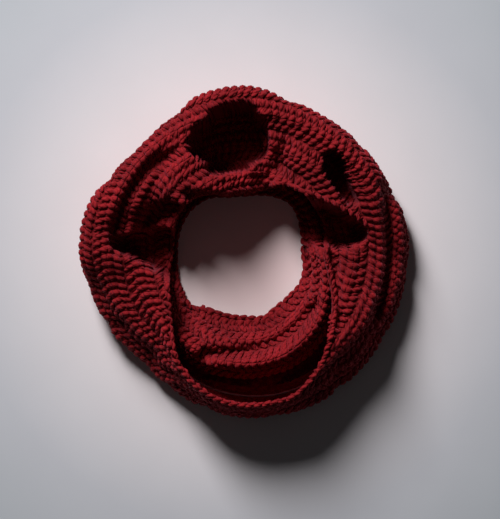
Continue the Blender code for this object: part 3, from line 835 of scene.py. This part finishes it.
def edge_line(cloth, line, seed):
    """Chain along a line on the top of the cloth that is given in plan."""
    rng = np.random.default_rng(seed)
    path = rounded(np.array([line], float), EDGE_CUTS)[0] * PLAN_UNIT
    steps = distance_along(path)
    count = int(steps[-1] / PITCH)
    wanted = (np.arange(count) + 0.5) * steps[-1] / count
    x = np.interp(wanted, steps, path[:, 0])
    y = np.interp(wanted, steps, path[:, 1])
    return beads(cloth, *cloth.across_of(x, y), TOP_EDGE, rng)


def backing(cloth, span, points_across):
    """Closed thin wall under the stitches of a span of the ring, with its flat foot."""
    closed = span[1] - span[0] >= 360.0
    steps = int(round((span[1] - span[0]) / BACK_STEP))
    turns = span[0] + np.arange(steps if closed else steps + 1) * (span[1] - span[0]) / steps
    share = np.linspace(0.0, 1.0, points_across)
    anchor = cloth.limit(cloth.anchor, turns)[:, None]
    length = cloth.limit(cloth.length, turns)[:, None]
    points, normals = cloth.at(turns[:, None] + 0.0 * share, share * length - anchor)
    outer = points - normals * BACK_OUTER
    inner = points - normals * BACK_INNER
    outer[:, :, 2] = np.maximum(outer[:, :, 2], BACK_LOWEST)
    inner[:, :, 2] = np.maximum(inner[:, :, 2], 0.0)
    foot = np.clip(1.0 - points[:, :, 2] / FOOT_FADE, 0.0, 1.0)
    inner[:, :, 2] *= 1.0 - foot
    n, m = outer.shape[:2]
    loop = np.concatenate([outer, inner[:, ::-1]], axis=1)
    index = np.arange(n * 2 * m).reshape(n, 2 * m)
    after = np.roll(index, -1, axis=1)
    if closed:
        ahead = np.roll(index, -1, axis=0)
        ahead_after = np.roll(after, -1, axis=0)
        faces = np.stack([index, ahead, ahead_after, after], axis=2).reshape(-1, 4)
    else:
        faces = np.stack([index[:-1], index[1:], after[1:], after[:-1]], axis=2).reshape(-1, 4)
        ends = []
        for i, order in ((0, 1), (n - 1, -1)):
            row = index[i]
            for j in range(m - 1):
                ends.append((row[j], row[j + 1], row[2 * m - 2 - j], row[2 * m - 1 - j])[::order])
        faces = np.concatenate([faces, np.array(ends)])
    return loop.reshape(-1, 3), faces


def new_material(name, roughness, sheen, sheen_roughness, sheen_tint):
    """Principled material with its constants set on its own sockets, its node tree and its shader."""
    material = bpy.data.materials.new(name)
    material.use_nodes = True
    tree = material.node_tree
    shader = tree.nodes["Principled BSDF"]
    shader.inputs["Roughness"].default_value = roughness
    shader.inputs["Specular IOR Level"].default_value = SPECULAR
    shader.inputs["Sheen Weight"].default_value = sheen
    shader.inputs["Sheen Roughness"].default_value = sheen_roughness
    shader.inputs["Sheen Tint"].default_value = sheen_tint
    return material, tree, shader


def grey(low, high, start=0.0, stop=1.0):
    """Ramp stops from one grey to another."""
    return (start, (low,) * 3), (stop, (high,) * 3)


def ramp(tree, source, stops):
    """Colour of a value by stops, each its place and its colour."""
    node = tree.nodes.new("ShaderNodeValToRGB")
    for k, (place, colour) in enumerate(stops):
        stop = node.color_ramp.elements[k] if k < 2 else node.color_ramp.elements.new(place)
        stop.position = place
        stop.color = (*colour, 1.0)
    tree.links.new(source, node.inputs["Fac"])
    return node.outputs["Color"]


def noise(tree, vector, scale, detail):
    """Value of a noise at a vector."""
    node = tree.nodes.new("ShaderNodeTexNoise")
    node.inputs["Scale"].default_value = scale
    node.inputs["Detail"].default_value = detail
    tree.links.new(vector, node.inputs["Vector"])
    return node.outputs["Fac"]


def times(tree, first, second):
    """Product of two colours."""
    node = tree.nodes.new("ShaderNodeMix")
    node.data_type = "RGBA"
    node.blend_type = "MULTIPLY"
    node.inputs["Factor"].default_value = 1.0
    tree.links.new(first, node.inputs["A"])
    tree.links.new(second, node.inputs["B"])
    return node.outputs["Result"]


def math_node(tree, operation, first, second=None):
    """Result of one operation on sockets or plain numbers."""
    node = tree.nodes.new("ShaderNodeMath")
    node.operation = operation
    for socket, value in zip(node.inputs, (first, second)):
        if isinstance(value, float):
            socket.default_value = value
        elif value is not None:
            tree.links.new(value, socket)
    return node.outputs["Value"]


def bump(tree, height, strength, distance, under=None, invert=False):
    """Normal of a relief, laid on another relief's normal where one is given."""
    node = tree.nodes.new("ShaderNodeBump")
    node.inputs["Strength"].default_value = strength
    node.inputs["Distance"].default_value = distance
    node.invert = invert
    tree.links.new(height, node.inputs["Height"])
    if under is not None:
        tree.links.new(under, node.inputs["Normal"])
    return node.outputs["Normal"]


def object_place(tree):
    """Place on the object, in metres."""
    return tree.nodes.new("ShaderNodeTexCoord").outputs["Object"]


def attribute(tree, name):
    """Node of a value that each point of the mesh carries."""
    node = tree.nodes.new("ShaderNodeAttribute")
    node.attribute_name = name
    return node


def ply_height(tree, yarn):
    """Relief of two plies twisted round each other, from the place along a strand and round it."""
    parts = tree.nodes.new("ShaderNodeSeparateXYZ")
    tree.links.new(yarn, parts.inputs["Vector"])
    turn = math_node(tree, "MULTIPLY", parts.outputs["X"], 2.0 * float(np.pi) / PLY_PITCH)
    first = math_node(tree, "MULTIPLY", math_node(tree, "COSINE", turn), parts.outputs["Y"])
    second = math_node(tree, "MULTIPLY", math_node(tree, "SINE", turn), parts.outputs["Z"])
    return math_node(tree, "ABSOLUTE", math_node(tree, "ADD", first, second))


def yarn_material(name):
    """Wool yarn: fibres along each ply, lighter and darker stitches, a soft nap."""
    material, tree, shader = new_material(
        name, roughness=0.82, sheen=0.30, sheen_roughness=0.45, sheen_tint=(0.70, 0.10, 0.16, 1.0),
    )
    yarn = attribute(tree, "yarn").outputs["Vector"]
    drawn = tree.nodes.new("ShaderNodeVectorMath")
    drawn.operation = "MULTIPLY"
    drawn.inputs[1].default_value = FIBRE_DRAW
    tree.links.new(yarn, drawn.inputs[0])
    fibre = noise(tree, drawn.outputs["Vector"], scale=3.2, detail=3.0)
    tint = attribute(tree, "tint").outputs["Fac"]
    cloud = noise(tree, object_place(tree), scale=26.0, detail=2.0)
    base = ramp(tree, fibre, ((0.30, YARN_DARK), (0.72, YARN_LIGHT)))
    base = times(tree, base, ramp(tree, tint, grey(0.82, 1.12)))
    base = times(tree, base, ramp(tree, cloud, grey(0.80, 1.15, start=0.30, stop=0.70)))
    tree.links.new(base, shader.inputs["Base Color"])
    plies = bump(tree, ply_height(tree, yarn), strength=0.9, distance=0.0012)
    fine = bump(tree, fibre, strength=0.8, distance=0.0008, under=plies)
    tree.links.new(fine, shader.inputs["Normal"])
    return material


def backing_material(name, dark, light, scale):
    """Felted yarn seen in the gaps between stitches, with painted shade darkening the hollows between its
    loops.
    """
    material, tree, shader = new_material(
        name, roughness=0.9, sheen=0.2, sheen_roughness=0.5, sheen_tint=(0.60, 0.20, 0.28, 1.0),
    )
    place = object_place(tree)
    voronoi = tree.nodes.new("ShaderNodeTexVoronoi")
    voronoi.inputs["Scale"].default_value = scale
    tree.links.new(place, voronoi.inputs["Vector"])
    loops = voronoi.outputs["Distance"]
    fibre = noise(tree, place, scale=4.0 * scale, detail=4.0)
    base = ramp(tree, fibre, ((0.30, dark), (0.72, light)))
    # painted shade: darker towards the edges of each loop, in the hollows between loops
    base = times(tree, base, ramp(tree, loops, grey(1.1, 0.55, stop=0.75)))
    tree.links.new(base, shader.inputs["Base Color"])
    fine = bump(tree, fibre, strength=0.6, distance=0.0005)
    coarse = bump(tree, loops, strength=0.8, distance=0.0015, under=fine, invert=True)
    tree.links.new(coarse, shader.inputs["Normal"])
    return material


def floor_material(name):
    """Pale matt floor with a faint grain and painted light: warmer and lighter under the ring as painted
    red bounce, darker outward as painted shade.
    """
    material, tree, shader = new_material(
        name, roughness=0.55, sheen=0.0, sheen_roughness=0.5, sheen_tint=(1.0, 1.0, 1.0, 1.0),
    )
    place = object_place(tree)
    grain = noise(tree, place, scale=18.0, detail=4.0)
    reach = tree.nodes.new("ShaderNodeVectorMath")
    reach.operation = "LENGTH"
    tree.links.new(place, reach.inputs[0])
    share = math_node(tree, "DIVIDE", reach.outputs["Value"], FLOOR_REACH)
    # painted red bounce in the middle, painted shade towards the edges
    base = ramp(tree, share, FLOOR_PAINTED_LIGHT)
    base = times(tree, base, ramp(tree, grain, grey(0.97, 1.03)))
    tree.links.new(base, shader.inputs["Base Color"])
    return material


def add_yarn(name, parts):
    """One joined mesh of yarn from several results of tubes()."""
    vertices, faces, along, tint = joined(parts)
    item = add_mesh(name, vertices, faces, yarn_red, along, tint)
    return item


def add_stitches(name, cloth, span, lines, seed, extra=()):
    """All stitches on the outside of a span of the ring, with the chain of its free edge."""
    edge = edge_of(cloth, span, seed + EDGE_SEED)
    return add_yarn(name, [*rows_of(cloth, 1.0, span, lines, seed), edge, *extra])


def add_backing(name, node, cloth, span, points_across):
    """The closed cloth of a span of the ring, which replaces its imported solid."""
    item = add_mesh(name, *backing(cloth, span, points_across), yarn_gap)
    shape = bmesh.new()
    shape.from_mesh(item.data)
    bmesh.ops.recalc_face_normals(shape, faces=shape.faces)
    shape.to_mesh(item.data)
    shape.free()
    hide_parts(node)
    return item


def cut_of(cloth, span):
    """Width and length of the strip that a span of the ring shows, in metres."""
    turns = np.linspace(span[0], span[1], CUT_SAMPLES)
    width = float(cloth.limit(cloth.length, turns).mean()) * MM
    middle = cloth.limit(0.5 * (cloth.low + cloth.high), turns)
    line = cloth.at(turns, middle)[0]
    return width, float(np.linalg.norm(np.diff(line, axis=0), axis=1).sum()) * MM


def add_hidden_layers():
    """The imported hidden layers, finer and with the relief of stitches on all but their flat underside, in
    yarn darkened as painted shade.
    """
    mesh = bpy.data.objects["hidden_layers"].data.copy()
    mesh.name = "hidden_layers_cloth"
    shape = bmesh.new()
    shape.from_mesh(mesh)
    bmesh.ops.subdivide_edges(shape, edges=shape.edges, cuts=PILE_CUTS, use_grid_fill=True)
    shape.normal_update()
    for vertex in shape.verts:
        turn = np.arctan2(vertex.co.y, vertex.co.x)
        reach = np.hypot(vertex.co.x, vertex.co.y)
        stitch = np.cos(turn * PILE_WAVES) * np.cos(reach / (ROW_HEIGHT * MM) * np.pi)
        free = min(max((vertex.co.z - PILE_FOOT) / PILE_FADE, 0.0), 1.0)
        vertex.co += vertex.normal * (PILE_RELIEF * stitch * free)
    shape.to_mesh(mesh)
    shape.free()
    mesh.materials.clear()
    mesh.materials.append(yarn_hidden_painted_shade)
    mesh.shade_smooth()
    item = bpy.data.objects.new("hidden_layers_cloth", mesh)
    bpy.context.scene.collection.objects.link(item)
    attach(item, "root")
    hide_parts("hidden_layers")


def add_floor():
    """Pale floor just under the ring."""
    bpy.ops.mesh.primitive_plane_add(size=FLOOR_SIDE, location=(0.0, 0.0, -FLOOR_DEPTH))
    floor = bpy.context.object
    floor.name = "floor"
    floor.data.materials.append(floor_material("floor_pale"))


def add_light():
    """One soft window high at the back left."""
    west = np.radians(LIGHT_WEST_OF_NORTH)
    rise = np.radians(LIGHT_ELEVATION)
    towards = Vector((-np.sin(west) * np.cos(rise), np.cos(west) * np.cos(rise), np.sin(rise)))
    lamp = bpy.data.lights.new("soft_window", "AREA")
    lamp.shape = "ELLIPSE"
    lamp.size = 2.0 * LIGHT_DISTANCE * float(np.tan(np.radians(0.5 * LIGHT_ANGLE_WIDE)))
    lamp.size_y = 2.0 * LIGHT_DISTANCE * float(np.tan(np.radians(0.5 * LIGHT_ANGLE_TALL)))
    lamp.energy = LIGHT_POWER
    lamp.color = LIGHT_COLOUR
    light = bpy.data.objects.new("soft_window", lamp)
    light.location = towards * LIGHT_DISTANCE
    light.rotation_euler = towards.to_track_quat("Z", "Y").to_euler()
    bpy.context.scene.collection.objects.link(light)


def set_world():
    """Faint even fill from all round."""
    world = bpy.data.worlds.new("studio")
    world.use_nodes = True
    world.node_tree.nodes["Background"].inputs["Color"].default_value = WORLD_COLOUR
    world.node_tree.nodes["Background"].inputs["Strength"].default_value = WORLD_STRENGTH
    bpy.context.scene.world = world
    bpy.context.scene.view_settings.view_transform = "Standard"


def add_camera():
    """Camera straight above, with the ring's middle at its place in the picture."""
    data = bpy.data.cameras.new("camera")
    data.sensor_width = SENSOR
    data.lens = SENSOR * (CAMERA_HEIGHT - SCALE_HEIGHT) / (PHOTO_SIZE[1] * PLAN_UNIT * MM)
    camera = bpy.data.objects.new("camera", data)
    camera.location = (
        ((0.5 * PHOTO_SIZE[0] - RING_MIDDLE_PIXEL[0]) * PLAN_UNIT - MIDDLE_SHIFT[0]) * MM,
        ((RING_MIDDLE_PIXEL[1] - 0.5 * PHOTO_SIZE[1]) * PLAN_UNIT - MIDDLE_SHIFT[1]) * MM,
        CAMERA_HEIGHT,
    )
    bpy.context.scene.collection.objects.link(camera)
    bpy.context.scene.camera = camera


# materials and the two turns
yarn_red = yarn_material("yarn_red")
yarn_gap = backing_material("yarn_gap", GAP_DARK, GAP_LIGHT, GAP_LOOPS)
# hidden layers: the same yarn, darker as painted shade of the cavities
yarn_hidden_painted_shade = backing_material("yarn_hidden_painted_shade", GAP_DARK, HIDDEN_PAINTED_SHADE, HIDDEN_LOOPS)
outer = Cloth(
    outer_sections, FOLDS, FLOOR, CREASES, OUTER_FIRST_MARK, OUTER_LINE_MARK, ROW_LINE * PLAN_UNIT,
)
inner = Cloth(inner_sections, INNER_FOLDS, LOW_FLOOR, (), INNER_FIRST_MARK, INNER_LINE_MARK)

# pieces of the neck warmer
add_hidden_layers()
outer_cloth = add_backing("outer_turn_cloth", "outer_turn", outer, OUTER_SPAN, OUTER_BACK_POINTS)
crossing_cloth = add_backing(
    "crossing_stretch_cloth", "crossing_stretch", outer, CROSSING_SPAN, OUTER_BACK_POINTS,
)
inner_cloth = add_backing("inner_turn_cloth", "inner_turn", inner, FULL_SPAN, INNER_BACK_POINTS)
top_edge = edge_line(outer, UPPER_RIGHT_EDGE, TOP_EDGE_SEED)
outer_stitches = [
    add_stitches(name, outer, span, OUTER_LINES, OUTER_SEED + k)
    for k, (name, span) in enumerate(OUTER_PARTS)
]
crossing_stitches = add_stitches(
    "crossing_stretch_stitches", outer, CROSSING_SPAN, OUTER_LINES, CROSSING_SEED, [top_edge],
)
inner_stitches = add_stitches("inner_turn_stitches", inner, FULL_SPAN, INNER_LINES, INNER_SEED)
facing_rows = rows_of(outer, -1.0, FACING_SPAN, OUTER_LINES, INSIDE_SEED)
outer_stitches.append(add_yarn("outer_turn_stitches_inside", facing_rows))

for item, cloth, span, stitches in (
    (outer_cloth, outer, OUTER_SPAN, outer_stitches),
    (crossing_cloth, outer, CROSSING_SPAN, [crossing_stitches]),
    (inner_cloth, inner, FULL_SPAN, [inner_stitches]),
):
    cut_of(cloth, span)

# floor, light and camera
add_floor()
add_light()
set_world()
add_camera()
